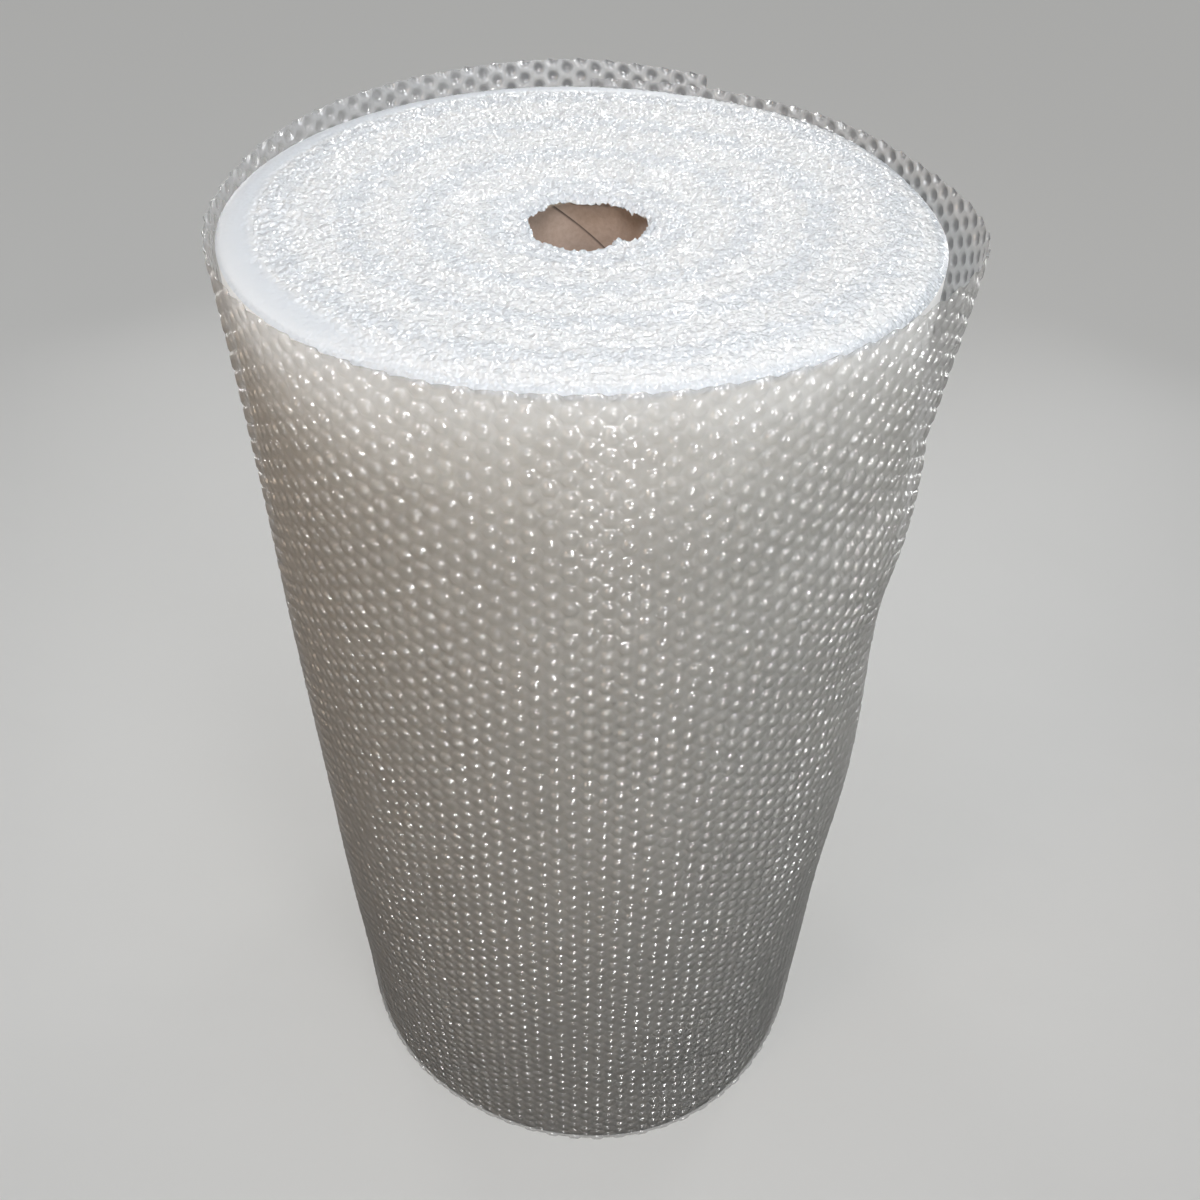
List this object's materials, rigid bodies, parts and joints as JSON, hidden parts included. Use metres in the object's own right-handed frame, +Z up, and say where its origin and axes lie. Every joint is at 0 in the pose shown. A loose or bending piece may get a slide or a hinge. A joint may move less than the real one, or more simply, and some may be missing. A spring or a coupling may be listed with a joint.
{
  "type": "bubble wrap roll",
  "caption": "Roll of clear bubble wrap wound on a cardboard core tube, standing on end, with a dished top and a loose outer turn that ends in a free flap.",
  "frame": {"origin": "centre of the core tube's bore, at the end that the roll stands on", "axes": "+Z up along the core, +X towards the pocket in the loose turn, +Y towards the back, where the free end of the film is"},
  "size_m": [0.4347, 0.4228, 0.7648],
  "materials": {
    "film": "glossy, translucent",
    "core": "matt, unbleached"
  },
  "bodies": {
    "root": {"bubble_wrap": "film", "core_tube": "core"}
  },
  "joints": []
}
